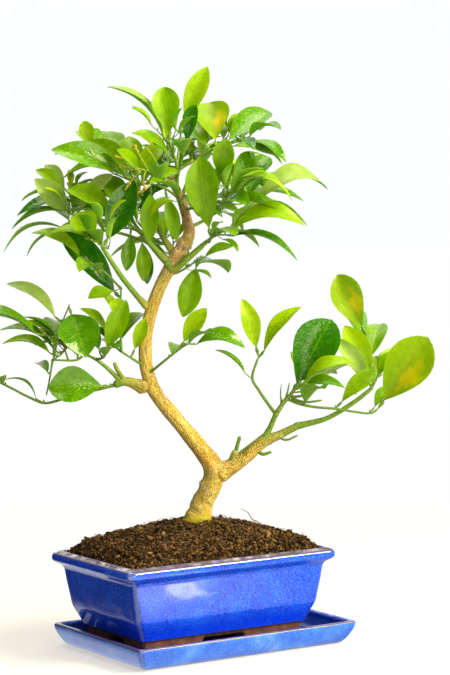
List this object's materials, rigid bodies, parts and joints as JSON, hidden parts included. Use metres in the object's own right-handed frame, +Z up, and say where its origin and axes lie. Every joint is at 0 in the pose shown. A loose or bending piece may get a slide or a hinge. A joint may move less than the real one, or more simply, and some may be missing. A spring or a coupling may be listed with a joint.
{
  "type": "citrus bonsai",
  "caption": "Citrus bonsai with a curved ochre trunk, open boughs and masses of glossy pointed leaves, rooted in heaped soil in a rectangular blue glazed pot on its drip tray.",
  "frame": {"origin": "middle of the drip tray's flat underside", "axes": "+Z up, +X along the pot's long side towards the side of the long right bough, +Y across the pot, away from the onlooker"},
  "size_m": [0.2503, 0.1955, 0.3646],
  "materials": {
    "glaze": "gloss",
    "compost": "matt, crumbly",
    "bark": "rough",
    "green_bark": "satin",
    "leaf": "gloss"
  },
  "bodies": {
    "root": {"tray": "glaze", "pot": "glaze", "soil": "compost", "trunk": "bark", "bough_right": "bark", "bough_low_left": "bark", "bough_right_inner": "green_bark", "bough_low_left_upper": "green_bark", "bough_left": "green_bark", "bough_left_upper": "green_bark", "bough_left_outer": "green_bark", "bough_left_top": "green_bark", "bough_crown_right": "green_bark", "leaves_right_pair": "leaf", "leaves_right_inner": "leaf", "leaves_right_low": "leaf", "leaves_right_outer": "leaf", "leaves_low_left": "leaf", "leaves_far_left": "leaf", "leaves_whip": "leaf", "leaves_left_middle": "leaf", "leaves_middle_right": "leaf", "leaves_left": "leaf", "leaves_left_inner": "leaf", "leaves_left_outer": "leaf", "leaves_left_top": "leaf", "leaves_inner": "leaf", "leaves_front": "leaf", "leaves_crown_right": "leaf", "leaves_under_crown": "leaf", "leaves_top": "leaf", "leaves_top_right": "leaf", "leaves_right_upper": "leaf", "leaves_back_left": "leaf", "leaves_back_right": "leaf", "leaves_back_top": "leaf"}
  },
  "joints": []
}
